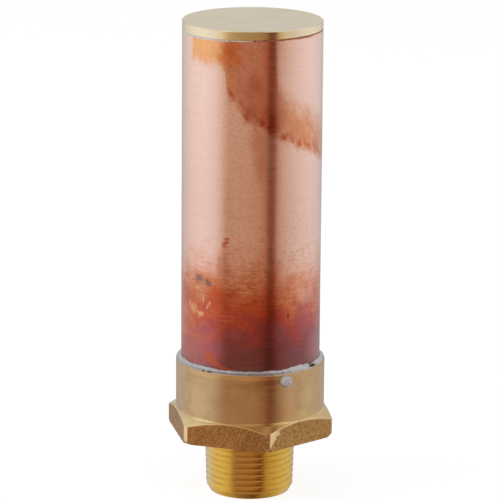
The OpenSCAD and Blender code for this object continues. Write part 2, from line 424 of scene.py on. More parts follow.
class Finish(Nodes):
    """A material, and short ways to build its pattern."""

    def __init__(self, name):
        self.material = bpy.data.materials.new(name)
        self.material.use_nodes = True
        super().__init__(self.material.node_tree)

    @cached_property
    def place(self):
        """Object coordinates of the surface."""
        return self.node("ShaderNodeTexCoord").outputs["Object"]

    def principled(self, sockets):
        """Sets sockets of the surface shader."""
        shader = self.tree.nodes["Principled BSDF"]
        for key, value in sockets.items():
            self.feed(shader.inputs[key], value)

    def dress(self, base, rough, relief, metallic=1.0):
        """Feeds the surface shader and gives the finished material."""
        self.principled({"Base Color": base, "Metallic": metallic, "Roughness": rough, "Normal": relief})
        return self.material

    def unrolled(self, radius):
        """The place on a tube of this radius rolled out flat: the arc round the axis, 0 and the height."""
        parts = self.node("ShaderNodeSeparateXYZ", {"Vector": self.place}).outputs
        arc = self.times(self.math("ARCTAN2", parts["Y"], parts["X"]), radius)
        return self.node("ShaderNodeCombineXYZ", {"X": arc, "Z": parts["Z"]}).outputs["Vector"]

    def noise(self, scale, detail, rough, shift=(0.0, 0.0, 0.0), lean=0.0, place=None):
        """Noise with this many lumps a metre along x, y and z, after a lean in degrees about y."""
        turn = (0.0, math.radians(lean), 0.0)
        turned = self.node("ShaderNodeMapping", {"Vector": place or self.place, "Rotation": turn})
        spot = self.node("ShaderNodeMapping", {
            "Vector": turned.outputs["Vector"], "Scale": scale, "Location": shift})
        made = self.node("ShaderNodeTexNoise", {
            "Vector": spot.outputs["Vector"], "Scale": 1.0, "Detail": detail, "Roughness": rough})
        return made.outputs["Fac"]

    def facing(self, pitch):
        """Rings round the axis this far apart, broken up by noise."""
        made = self.node("ShaderNodeTexWave", {
            "Vector": self.place, "Scale": math.pi / (10 * pitch), "Distortion": 3.0, "Detail": 3.0,
            "Detail Scale": 0.6}, wave_type="RINGS", rings_direction="Z")
        return made.outputs["Fac"]

    def reading(self, name):
        """A number stored on the mesh."""
        return self.node("ShaderNodeAttribute", attribute_name=name).outputs["Fac"]

    def nudge(self, value, *noises):
        """value + (noise - 0.5) * amount for each (noise, amount), so that an edge turns ragged."""
        for noise, amount in noises:
            value = self.math("MULTIPLY_ADD", noise, amount, self.math("SUBTRACT", value, amount / 2))
        return value

    def step(self, value, low, high, start=0.0, end=1.0):
        """Smooth step from start at low to end at high."""
        made = self.node("ShaderNodeMapRange", {
            "Value": value, "From Min": low, "From Max": high, "To Min": start, "To Max": end},
            interpolation_type="SMOOTHSTEP")
        return made.outputs["Result"]

    def mix(self, share, first, second, mode="MIX"):
        """Blend of two colours."""
        made = self.node("ShaderNodeMix", {0: share, 6: first, 7: second}, data_type="RGBA", blend_type=mode)
        return made.outputs[2]

    def glaze(self, share, base, gain):
        """Blend of a colour with the same colour times a gain."""
        return self.mix(share, base, self.mix(1.0, base, gain, "MULTIPLY"))

    def ramp(self, value, stops):
        """Colour ramp through (place, colour) stops."""
        made = self.node("ShaderNodeValToRGB", {"Fac": value})
        steps = made.color_ramp.elements
        while len(steps) < len(stops):
            steps.new(1.0)
        for step, (place, shade) in zip(steps, stops):
            step.position = place
            step.color = (*shade, 1.0)
        return made.outputs["Color"]

    def relief(self, *layers):
        """Bumps on each other; each layer gives a height and how far a height of 1 stands out, in metres."""
        sockets = {"Strength": 1.0}
        for height, distance in layers:
            made = self.node("ShaderNodeBump", {**sockets, "Height": height, "Distance": distance})
            sockets["Normal"] = made.outputs["Normal"]
        return sockets["Normal"]


def copper_finish(looks):
    """Drawn copper with brush marks, heat tint above the collar and a stain under the cap."""
    finish = Finish("copper_drawn")
    cloud = finish.noise((110, 110, 90), 4.0, 0.55)
    blotch = finish.noise((260, 260, 220), 4.0, 0.6, (3.0, 1.0, 7.0))
    grit = finish.noise((900, 900, 700), 3.0, 0.6, (9.0, 2.0, 4.0))
    fine = finish.noise((1000, 1000, 2000), 3.0, 0.65, (2.0, 5.0, 8.0))
    brush = finish.noise((90, 90, 2600), 3.0, 0.65)
    streak = finish.noise((60, 60, 620), 3.0, 0.6, (1.0, 8.0, 3.0))
    lines = finish.noise((150, 150, 1500), 3.0, 0.65, (5.0, 5.0, 2.0))
    stroke = finish.noise((620, 620, 170), 3.0, 0.6, (6.0, 3.0, 2.0), 40.0, finish.unrolled(TUBE_HIGH.x))

    # Bare copper with faint brush lines and a fine mottle
    base = finish.mix(finish.step(brush, 0.30, 0.70), tone(looks.copper, 0.965), looks.copper)
    base = finish.mix(finish.step(lines, 0.42, 0.68, 0.0, 0.08), base, (0.56, 0.33, 0.25))
    base = finish.mix(finish.step(fine, 0.48, 0.70, 0.0, 0.14), base, (0.52, 0.30, 0.22))
    specks = finish.step(finish.nudge(finish.reading("specks"), (blotch, 1.4)), 0.0, 0.9, 0.0, 0.32)
    specks = finish.math("ADD", specks, finish.step(finish.reading("worn"), 0.0, 1.0, 0.0, 0.20))
    base = finish.mix(finish.times(finish.step(fine, 0.46, 0.64), specks), base, (0.50, 0.25, 0.17))
    base = finish.glaze(finish.reading("fresh"), base, (1.20, 1.30, 1.36))

    # Heat tint: straw, orange, red, purple and brown towards the collar
    warmth = finish.nudge(finish.reading("warmth"), (cloud, 0.20), (blotch, 0.34), (streak, 0.14),
                          (lines, 0.22), (fine, 0.16))
    tint = finish.ramp(warmth, (
        (0.0, (1.0, 1.0, 1.0)),
        (0.15, (0.95, 0.84, 0.77)),
        (0.28, (0.86, 0.58, 0.46)),
        (0.38, (0.75, 0.37, 0.22)),
        (0.47, (0.68, 0.25, 0.14)),
        (0.56, (0.60, 0.17, 0.12)),
        (0.65, (0.47, 0.14, 0.14)),
        (0.74, (0.36, 0.135, 0.16)),
        (0.92, (0.26, 0.14, 0.17)),
    ))
    base = finish.mix(1.0, base, tint, "MULTIPLY")
    violet = finish.times(finish.step(warmth, 0.50, 0.72), finish.step(lines, 0.46, 0.64, 0.0, 0.6))
    base = finish.mix(violet, base, (0.25, 0.09, 0.12))

    # Patches in the tint: purple, gold, orange, red and grey, pale scratches and a dark nick
    for name, noise, ragged, width, amount, shade in (
        ("veil", cloud, 0.8, 0.9, 0.55, (0.58, 0.225, 0.12)),
        ("haze", cloud, 1.0, 1.0, 0.60, (0.42, 0.17, 0.16)),
        ("plum", lines, 2.0, 1.0, 0.60, (0.37, 0.11, 0.14)),
        ("blush", lines, 1.0, 0.8, 0.72, (0.58, 0.225, 0.12)),
        ("gold", blotch, 2.2, 0.9, 0.80, (0.76, 0.42, 0.20)),
        ("rust", lines, 2.6, 0.8, 0.70, (0.54, 0.10, 0.032)),
        ("rose", lines, 1.6, 1.0, 0.42, (0.56, 0.37, 0.34)),
        ("crimson", lines, 2.4, 0.9, 0.60, (0.42, 0.07, 0.055)),
        ("smoke", lines, 1.6, 1.0, 0.50, (0.19, 0.12, 0.12)),
        ("ash", fine, 2.4, 1.0, 0.84, (0.145, 0.11, 0.115)),
        ("scratch", grit, 0.9, 0.6, 0.60, (0.66, 0.40, 0.27)),
        ("nick", fine, 0.2, 0.6, 0.90, (0.11, 0.04, 0.03)),
    ):
        place = finish.nudge(finish.reading(name), (noise, ragged), (grit, 0.7))
        base = finish.mix(finish.step(place, 0.0, width, 0.0, amount), base, shade)

    # Stain under the cap: a thin film, orange at its sides, darker and ragged towards its foot
    amber = finish.reading("amber")
    ragged = finish.nudge(0.0, (blotch, 5.0), (stroke, 1.8), (grit, 2.2))
    film = finish.step(finish.math("ADD", finish.reading("film"), ragged), -2.2, 2.4)
    edge = finish.math("ADD", finish.reading("foot"), ragged)
    thin = finish.mix(amber, (0.80, 0.54, 0.45), (1.0, 0.73, 0.37))
    thin = finish.mix(finish.step(cloud, 0.45, 0.65, 0.0, 0.5), thin, (0.86, 0.62, 0.52))
    dusky = finish.times(finish.step(stroke, 0.46, 0.64, 0.0, 0.45), finish.step(amber, 0.5, 1.0, 1.0, 0.4))
    thin = finish.mix(dusky, thin, (0.70, 0.44, 0.33))
    ember = finish.nudge(finish.reading("ember"), (stroke, 0.9), (grit, 0.7))
    thin = finish.mix(finish.step(ember, -0.4, 0.9, 0.0, 0.85), thin, (0.80, 0.31, 0.09))
    base = finish.glaze(film, base, thin)
    deep = finish.times(finish.step(edge, 12.0, 2.0), finish.step(blotch, 0.36, 0.62), film,
                        finish.step(amber, 0.3, 1.0, 0.7, 0.1))
    base = finish.glaze(deep, base, (0.78, 0.54, 0.42))
    blot = finish.nudge(finish.reading("blot"), (stroke, 1.2), (grit, 0.8))
    base = finish.glaze(finish.step(blot, -0.1, 0.9, 0.0, 0.85), base, (0.76, 0.50, 0.34))
    rim = finish.times(finish.step(edge, 4.5, 1.0), finish.step(stroke, 0.42, 0.62), film,
                       finish.step(amber, 0.3, 1.0, 0.6, 0.3))
    base = finish.glaze(rim, base, (0.80, 0.56, 0.40))

    gloss = finish.step(brush, 0.2, 0.8, 0.17, 0.24)
    gloss = finish.math("ADD", gloss, finish.step(warmth, 0.3, 0.9, 0.0, 0.08))
    gloss = finish.math("ADD", gloss, finish.times(rim, 0.12))
    return finish.dress(base, gloss, finish.relief((brush, 0.000002), (grit, 0.000004)))


def turned_brass(name, shade, lines, rough, dirt, pitch=0.0):
    """Brass turned on a lathe: fine rings, soft clouds of tarnish, and brown streaks where it is sooty.

    pitch is the distance between the rings of a facing cut, on a piece that has a faced end.
    """
    finish = Finish(name)
    rings = finish.noise((50, 50, lines), 3.0, 0.6)
    cloud = finish.noise((140, 140, 160), 4.0, 0.6, (2.0, 6.0, 1.0))
    grit = finish.noise((1300, 1300, 1000), 2.0, 0.6)
    streak = finish.noise((70, 70, 1100), 3.0, 0.6, (3.0, 4.0, 1.0))
    base = finish.mix(finish.step(rings, 0.25, 0.75), tone(shade, 0.95), shade)
    if pitch:
        arcs = finish.nudge(finish.facing(pitch), (grit, 1.2), (cloud, 1.6))
        base = finish.mix(finish.step(arcs, 0.2, 0.9, 0.0, 0.16), base, tone(shade, 0.6))
    tarnish = finish.step(cloud, 0.42, 0.72, 0.0, dirt)
    base = finish.mix(tarnish, base, tone(shade, (0.50, 0.38, 0.28)))
    base = finish.mix(finish.step(grit, 0.62, 0.78, 0.0, 0.09), base, tone(shade, 0.6))
    soot = finish.times(finish.reading("soot"), finish.step(streak, 0.47, 0.62), 0.9)
    base = finish.mix(soot, base, tone(shade, (0.52, 0.42, 0.30)))
    # Painted shade, browner, at the front of the collar's root and of the cap's rim
    base = finish.mix(finish.times(finish.reading("browned"), 0.7), base, tone(shade, (0.61, 0.60, 0.38)))
    for cast, noise, amount, gain in (
        ("gilded", streak, 0.75, (1.36, 1.24, 1.0)),
        # Painted yellow reflection low on the collar, and painted highlight on the cap's rim
        ("straw", cloud, 0.45, (1.20, 1.32, 0.96)),
        # Reddish clouds, with painted shade on the collar's right edge
        ("ruddy", cloud, 0.60, (0.98, 0.76, 0.70)),
        # Painted shade on the right of the collar and chamfer, and on the hex's front and left
        ("dimmed", cloud, 0.70, (0.85, 0.79, 0.66)),
        # Painted light on the collar and chamfer near 31 degrees right of the front
        ("bright", cloud, 0.60, (1.24, 1.26, 1.36)),
    ):
        share = finish.step(finish.nudge(finish.reading(cast), (noise, 1.0)), 0.1, 0.9, 0.0, amount)
        base = finish.mix(share, base, tone(shade, gain))
    base = finish.glaze(finish.reading("amber"), base, (0.92, 0.77, 0.48))
    gloss = finish.math("ADD", finish.step(rings, 0.2, 0.8, rough, rough + 0.09), finish.times(tarnish, 0.2))
    return finish.dress(base, gloss, finish.relief((rings, 0.000004), (grit, 0.000001)))


def flat_brass_finish(looks):
    """Rough flats of the hex bar: fine bright grain, slanting ripples and a burnished patch by one corner."""
    finish = Finish("brass_bar_flat")
    grain = finish.noise((2100, 2100, 2100), 2.0, 0.6)
    pits = finish.noise((900, 900, 1000), 3.0, 0.6, (4.0, 8.0, 2.0))
    waves = finish.noise((1300, 1300, 260), 2.0, 0.5, (1.0, 3.0, 9.0), -35.0)
    shade = looks.flat_brass
    base = finish.mix(finish.step(grain, 0.34, 0.66), tone(shade, 0.68), tone(shade, 1.42))
    base = finish.mix(finish.step(pits, 0.56, 0.74, 0.0, 0.30), base, (0.16, 0.075, 0.022))
    base = finish.mix(finish.step(waves, 0.50, 0.62, 0.0, 0.48), base, tone(shade, 1.5))
    # Painted shade on the middle of the front flat and on the left flat
    base = finish.glaze(finish.reading("dimmed"), base, (0.80, 0.76, 0.78))
    worn = finish.step(finish.nudge(finish.reading("burnish"), (pits, 1.4)), 0.0, 0.36)
    base = finish.mix(worn, base, (0.80, 0.625, 0.37))
    gloss = finish.math("SUBTRACT", finish.step(pits, 0.3, 0.7, 0.40, 0.52), finish.times(worn, 0.14))
    return finish.dress(base, gloss, finish.relief((waves, 0.00004), (pits, 0.00003), (grain, 0.00002)))


def thread_brass_finish(looks):
    """Freshly cut thread: bright yellow flanks with fine tool marks, with painted shade that browns the front
    and darkens the roots, and a painted reflection that pales the left edge.
    """
    finish = Finish("brass_thread_cut")
    marks = finish.noise((240, 240, 3200), 2.0, 0.6)
    cloud = finish.noise((240, 240, 240), 3.0, 0.6, (7.0, 1.0, 2.0))
    lines = finish.noise((330, 330, 900), 3.0, 0.6, (4.0, 6.0, 1.0))
    shade = looks.thread_brass
    base = finish.mix(finish.step(marks, 0.25, 0.75), tone(shade, 0.92), shade)
    base = finish.mix(finish.step(cloud, 0.5, 0.75, 0.0, 0.5), base, (0.58, 0.36, 0.10))
    # Painted shade: browner and darker towards the front
    brown = finish.step(finish.nudge(finish.reading("tarnish"), (cloud, 0.5)), 0.1, 0.9, 0.0, 0.8)
    base = finish.mix(brown, base, (0.52, 0.27, 0.075))
    # Painted shade in the roots of the thread, broken by noise
    root = finish.times(finish.reading("groove"), finish.step(lines, 0.36, 0.62, 0.15, 0.60))
    base = finish.mix(root, base, (0.36, 0.19, 0.04))
    # Painted reflection: paler towards the left edge
    base = finish.mix(finish.reading("pale"), base, (0.84, 0.70, 0.46))
    gloss = finish.step(marks, 0.2, 0.8, 0.20, 0.30)
    return finish.dress(base, gloss, finish.relief((marks, 0.000002)))


def solder_finish(name, shade, dull):
    """Frozen solder: grey, pale with frost where it set in lumps and with painted light, coppery where it is
    thin, dark with fluxing residue in voids and with painted shade.

    dull is how far its skin has oxidised, from 0 to 1.
    """
    finish = Finish(name)
    frost = finish.noise((1400, 1400, 1400), 3.0, 0.6)
    cloud = finish.noise((420, 420, 420), 3.0, 0.6, (2.0, 2.0, 8.0))
    # Paler with frost, and with painted light on the fillet's two sides
    pale = finish.nudge(finish.reading("frosted"), (cloud, 0.8))
    base = finish.mix(finish.step(pale, 0.0, 1.0), tone(shade, 0.70), shade)
    base = finish.mix(finish.step(frost, 0.56, 0.75, 0.0, 0.4), base, (0.26, 0.23, 0.21))
    base = finish.mix(finish.reading("coppery"), base, (0.66, 0.27, 0.14))
    # Dark with flux in voids and nicks, and with painted shade along the fillet's foot
    flux = finish.step(finish.nudge(finish.reading("flux"), (frost, 0.7)), 0.2, 0.8)
    base = finish.mix(flux, base, (0.06, 0.04, 0.03))
    gloss = finish.step(frost, 0.25, 0.75, 0.26, 0.42)
    gloss = finish.math("ADD", gloss, finish.step(pale, 0.3, 1.0, 0.0, 0.24))
    return finish.dress(base, gloss, finish.relief((cloud, 0.00006), (frost, 0.00004)), 1.0 - dull)


def acetal_finish(looks):
    """Turned acetal: off-white, waxy, with fine tool rings."""
    finish = Finish("acetal_turned")
    rings = finish.noise((60, 60, 2600), 2.0, 0.6)
    cloud = finish.noise((150, 150, 150), 3.0, 0.5)
    base = finish.mix(finish.step(cloud, 0.3, 0.7), tone(looks.acetal, 0.93), looks.acetal)
    gloss = finish.step(rings, 0.2, 0.8, 0.32, 0.46)
    finish.principled({"Subsurface Weight": 0.08, "Subsurface Radius": (0.002, 0.002, 0.002)})
    return finish.dress(base, gloss, finish.relief((rings, 0.000012)), 0.0)


def rubber_finish(looks):
    """Greased rubber: black, with fine moulding grain and a film of grease."""
    finish = Finish("rubber_greased")
    grain = finish.noise((1600, 1600, 1600), 2.0, 0.6)
    grease = finish.noise((300, 300, 300), 3.0, 0.5, (4.0, 4.0, 4.0))
    base = finish.mix(finish.step(grain, 0.3, 0.7), tone(looks.rubber, 0.7), tone(looks.rubber, 1.4))
    gloss = finish.step(grease, 0.35, 0.65, 0.22, 0.48)
    return finish.dress(base, gloss, finish.relief((grain, 0.00001)), 0.0)


def thread_groove(sizes, turns, height):
    """Depth of the thread's groove from 0 at a crest to 1, fading out under the hex.

    It is (0.5 - 0.5 cos phase) to the power 1.3 on the right-hand helix z / pitch - turn / full turn.
    """
    phase = np.mod(height / sizes.thread_pitch - turns / math.tau, 1.0)
    fade = rise(height, sizes.nipple_length - sizes.thread_stop, -sizes.thread_runout)
    return (0.5 - 0.5 * np.cos(math.tau * phase)) ** 1.3 * fade


def thread_radius(sizes, turns, height):
    """Radius of the threaded nipple.

    The crest tapers below a straight stretch: r - max(0, length - straight - z) / (2 taper).
    The groove is cut into it, and the lead-in cone cuts off both.
    """
    run = sizes.nipple_length - sizes.straight_length - height
    crest = sizes.thread_radius - np.maximum(0, run) / (2 * sizes.taper_ratio)
    below = sizes.nipple_length - sizes.straight_length - sizes.lead_height
    lead = sizes.thread_radius - below / (2 * sizes.taper_ratio) - sizes.lead_depth
    cone = lead + height * sizes.lead_depth / sizes.lead_height
    return np.minimum(crest - sizes.thread_depth * thread_groove(sizes, turns, height), cone)


def hex_turns(flat, turned):
    """Column angles: 4 across each turned corner, 40 across each flat, so that edges fall on columns.

    Also returns half the angle of a corner.
    """
    half = math.pi / 6 - math.acos(flat / turned)
    corner = np.linspace(-half, half, 4, endpoint=False)
    side = np.linspace(half, SIXTH - half, 40, endpoint=False)
    return (np.arange(6)[:, None] * SIXTH + np.concatenate((corner, side))).ravel(), half


def adapter_bands(sizes, turns):
    """Rows of the adapter from its end face up the outside and down the waterway.

    The hex radius is min(flat / cos(angle from the flat's middle), corner). Its chamfer is a cone
    that falls from the collar, so that the edge dips at each corner as a hyperbola.
    """
    flat, turned = ADAPTER_HIGH.y, ADAPTER_HIGH.x
    hex_r = np.minimum(flat / np.cos(np.mod(turns, SIXTH) - math.pi / 6), turned)
    low, top, seat = sizes.nipple_length, ADAPTER_HIGH.z, TUBE_LOW.z
    high = low + sizes.hex_height
    collar, socket, inlet = sizes.collar_radius, sizes.socket_radius, sizes.inlet_radius
    spare = hex_r - collar
    edge = np.minimum(sizes.hex_edge, 0.3 * spare)
    root = np.minimum(sizes.root_width, 0.3 * spare)
    slope = math.tan(sizes.hex_chamfer)
    chamfer_z = high - spare * slope
    foot_r = np.minimum(hex_r, turned - sizes.foot_depth)
    foot_z = low + sizes.foot_height * (hex_r - foot_r) / sizes.foot_depth + edge
    rows = np.linspace(0, low, 230, endpoint=False)[:, None]
    thread = thread_radius(sizes, turns, rows)
    mouth = inlet + sizes.inlet_chamfer
    legs = {
        "under": (foot_r - edge, low, 6),
        "foot": (hex_r, foot_z, 3),
        "flat": (hex_r, chamfer_z - edge, 16),
        "edge": (hex_r - edge, chamfer_z + edge * slope, 2),
        "chamfer": (collar + root, high - root * slope, 6),
        "root": (collar, high + root, 3),
        "collar": (collar, top - sizes.rim_break, 20),
        "rim": (collar - sizes.rim_break, top, 3),
        "brim": (socket, top, 3),
        "socket": (socket, seat, 4),
        "seat": (sizes.flare_radius, seat, 3),
        "flare": (inlet, seat - sizes.flare_height, 4),
        "bore": (inlet, sizes.inlet_chamfer, 8),
        "mouth": (mouth, 0.0, 2),
    }
    return {
        "end": profile((mouth, 0.0), (thread[0], 0.0, 3))[0],
        "thread": (thread, rows),
        **dict(zip(legs, profile((sizes.thread_radius, low), *legs.values()))),
    }


class ARRESTOR_OT_adapter(bpy.types.Operator):
    """Builds the brass adapter with its threaded nipple, hex and socket collar"""

    bl_idname = "arrestor.adapter"
    bl_label = "Hex adapter"

    def execute(self, context):
        sizes, looks, studio = settings(context)
        turns, half = hex_turns(ADAPTER_HIGH.y, ADAPTER_HIGH.x)
        bands = adapter_bands(sizes, turns)
        points = lathe(bands.values(), turns)
        mesh = grid_mesh("hex_adapter_turned", points, corner=26.0)
        names = np.repeat(list(bands), [len(z) for r, z in bands.values()])[:, None]

        # Materials by band: 0 collar, 1 thread, 2 rough flats and the two near corners, 3 chamfer
        on_flat = np.mod(turns + half + 1e-6, SIXTH) > 2 * half
        front, beside = (np.abs(np.mod(turns + turn + math.pi, math.tau) - math.pi) < 1.01 * half
                         for turn in (SIXTH, 0.0))
        rough = (names == "foot") | (names == "flat") & (on_flat | front | beside)
        part = np.select((np.isin(names, ("end", "thread", "under")), rough,
                          np.isin(names, ("flat", "edge", "chamfer", "root"))), (1, 2, 3))
        mesh.polygons.foreach_set("material_index", part.ravel().astype(np.int32))

        # Burnished patch on the flat to the right of the front corner, wide at its top
        height = points[..., 2] / MM
        side = np.broadcast_to(degrees_from_front(turns, studio), height.shape)
        run = (ADAPTER_HIGH.x - 0.5 * points[..., 0] + math.sin(SIXTH) * points[..., 1]) / MM
        width = 0.12 + 2.1 * rise(height, 19.6, 4.3)
        right = np.mod(turns + SIXTH - 0.7 * half, math.tau) < SIXTH
        burnish = np.where(right, 1 - run / width, np.where(front, 0.11, -1.0))

        # Soot and coloured clouds of the collar, the chamfer and the thread, with painted shade, painted
        # light and painted reflections among them
        sooty = np.clip(bell(side, 8, 30) + 0.6 * bell(side, -140, 40), 0.30, 1)
        # Painted yellow reflection of the chamfer at the collar's foot, fainter off the collar
        ledge = 0.9 * bell(height, 26.4, 0.7) * rise(side, 8, 14) * rise(side, 75, -12)
        straw = np.maximum(ledge, patches(side, height, STRAW)) * np.where(names == "collar", 1.0, 0.4)
        # Painted shade in the middle of the front flat, on the left flat, and on the right of the collar and
        # chamfer
        shaded = 0.9 * bell(side, 2, 10) * (side < 14) + 0.7 * rise(side, -46, -3) * rise(side, -106, 3)
        edge = rise(side, 48, 18) * rise(side, 110, -20)
        # Painted shade in the thread's roots
        groove = thread_groove(sizes, turns, points[..., 2]) ** 2.5 * (names == "thread")
        paint(
            mesh, points,
            burnish=burnish,
            soot=0.58 * rise(height, 35.0, 3.0) * sooty,
            # Painted shade on the front of the thread
            tarnish=bell(side, -4, 21, 4),
            gilded=0.9 * bell(height, 40.1, 0.7) * np.clip(1.1 - np.abs(side + 8) / 60, 0, 1),
            straw=straw,
            # Reddish clouds, with painted shade on the collar's right edge
            ruddy=patches(side, height, RUDDY),
            dimmed=np.where(np.isin(names, ("foot", "flat")), shaded, edge),
            amber=0.8 * bell(side, 14, 17, 4) * (names == "chamfer"),
            # Painted light near 31 degrees right of the front
            bright=0.55 * bell(side, 31, 8),
            # Painted shade at the front of the collar's root
            browned=bell(side, -2, 32, 4) * (names == "root"),
            groove=groove * rise(height, 1.9, 0.6),
            # Painted reflection on the thread's left edge
            pale=0.6 * bell(side, -76, 15),
        )
        piece = show(
            mesh,
            turned_brass("brass_collar_turned", looks.collar_brass, 2600, 0.21, 0.30),
            thread_brass_finish(looks),
            flat_brass_finish(looks),
            turned_brass("brass_chamfer_turned", looks.chamfer_brass, 1800, 0.15, 0.25),
        )
        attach(piece, "casing")
        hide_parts("hex_adapter")
        return {"FINISHED"}


class ARRESTOR_OT_barrel(bpy.types.Operator):
    """Builds the drawn copper barrel with its heat tint and stains"""

    bl_idname = "arrestor.barrel"
    bl_label = "Copper barrel"

    def execute(self, context):
        sizes, looks, studio = settings(context)
        turns = even_turns(360)
        inner = TUBE_HIGH.x - sizes.tube_wall
        low, rim, high = TUBE_LOW.z, ADAPTER_HIGH.z, TUBE_HIGH.z + end_slant(sizes, turns, studio)
        hidden = np.linspace(low + 0 * turns, rim, 4, endpoint=False)
        rows = np.concatenate((hidden, np.linspace(rim + 0 * turns, high, 164)))
        wave = ripple(turns[None, :], rows, ((5, 9), (7, -14), (9, 6), (12, 21), (16, -11)), 7)
        calm = rise(rows, rim + 4 * MM, 6 * MM) * rise(rows, high, -4 * MM)
        wall = TUBE_HIGH.x + sizes.tube_wave * wave * calm
        inside = profile((inner, high), (inner, low, 6), (inner + 0.5 * sizes.tube_wall, low, 2))
        points = lathe(((wall, rows), *inside), turns)
        mesh = grid_mesh("barrel_tube_drawn", points)

        # Stain under the cap: how deep a point lies in its film and over its foot, in mm
        side = np.broadcast_to(degrees_from_front(turns, studio), points.shape[:2])
        height = points[..., 2] / MM
        foot = height - np.interp(side, *STAIN_FOOT.T)
        crest = np.interp(side, *STAIN_CREST.T) - height
        sides = np.minimum(0.7 * (side + 57.5), 0.22 * (128 - side))
        film = np.minimum(np.minimum(foot, 0.5 * crest), sides)

        # Heat tint: warmth falls with height, with hotter and cooler places round the tube
        swell = ripple(np.radians(side), height * MM, ((2, 8), (3, 0), (5, 15)), 3)
        left = rise(side, -14, -18) * rise(side, -180, 80)
        warmth = (82 - height) / 40 - 0.05 + 0.05 * swell
        warmth += 0.07 * bell(side, 0, 40) * (1 - 0.6 * rise(height, 65, 5))
        warmth += left * (0.07 * bell(height, 66, 6.5) - 0.25 * rise(height, 62, -12))
        warmth -= rise(side, 12, 18) * (0.06 * rise(height, 50, 8) - 0.05 * bell(height, 66.5, 2.5))
        warmth -= 0.07 * rise(side, -49, -9) * bell(height, 64, 9, 4)
        warmth -= 0.03 * bell(side, 3, 9) * bell(height, 68, 7.5, 4)

        # Brighter copper towards the cap and in three places beside the stain
        fresh = 0.4 * rise(height, 92, 36)
        fresh += 0.36 * bell(side, -20.5, 4.5) * bell(height, 113, 16, 4)
        fresh += 0.36 * bell(side, 11, 7) * rise(height, 123, 6)
        fresh += 0.34 * bell(side, 47, 12) * bell(height, 111.5, 3)
        paint(
            mesh, points,
            film=np.clip(film, -20, 20),
            foot=np.clip(foot, -20, 20),
            amber=rise(side, -12, -14) + 0.38 * rise(side, 22, 8),
            warmth=warmth,
            worn=bell(side, -2, 24, 4),
            fresh=fresh,
            **{name: patches(side, height, places) for name, places in TINT_PATCHES.items()},
        )
        piece = show(mesh, copper_finish(looks))
        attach(piece, "casing")
        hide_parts("barrel_tube")
        return {"FINISHED"}


class ARRESTOR_OT_cap(bpy.types.Operator):
    """Builds the faced brass end cap with its spigot"""

    bl_idname = "arrestor.cap"
    bl_label = "End cap"

    def execute(self, context):
        sizes, looks, studio = settings(context)
        turns = even_turns(192)
        spigot, outer = sizes.spigot_radius, CAP_HIGH.x
        nose, top = CAP_LOW.z, CAP_HIGH.z
        bevel, edge, lip = sizes.spigot_chamfer, sizes.cap_edge, sizes.cap_lip
        foot = nose + sizes.spigot_length + end_slant(sizes, turns, studio)
        face = np.linspace(outer - edge, CAP_POLE, 110)[:, None]
        marks = 1 - np.cos(math.tau * face / sizes.face_pitch)
        dish = top - sizes.face_step * marks * (face < outer - sizes.face_border)
        bands = profile(
            (CAP_POLE, nose),
            (spigot - bevel, nose, 4),
            (spigot, nose + bevel, 2),
            (spigot, foot, 4),
            (outer - lip, foot, 2),
            (outer, foot + lip, 1),
            (outer, top - edge, 8),
            (outer - edge, top, 4),
        )
        points = lathe((*bands, (face, dish)), turns)
        mesh = grid_mesh("end_cap_faced", points, ring=False, corner=30.0)
        side = degrees_from_front(turns, studio)
        rim = np.hypot(points[..., 0], points[..., 1]) > outer - 0.1 * MM
        paint(
            mesh, points,
            # Painted shade at the front of the rim, and a painted highlight on each side of the front
            browned=1.2 * bell(side, 3, 20, 4) * rim,
            straw=(bell(side, 25, 7) + bell(side, -23, 6)) * rim,
        )
        faced = len(points) - len(face) - len(bands[-1][0])
        rows = np.arange(len(mesh.polygons)) // len(turns)
        mesh.polygons.foreach_set("material_index", (rows >= faced).astype(np.int32))
        piece = show(
            mesh,
            turned_brass("brass_cap_rim", looks.rim_brass, 2200, 0.13, 0.10),
            turned_brass("brass_cap_faced", looks.cap_brass, 2200, 0.17, 0.07, sizes.face_pitch),
        )
        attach(piece, "casing")
        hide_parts("end_cap")
        return {"FINISHED"}


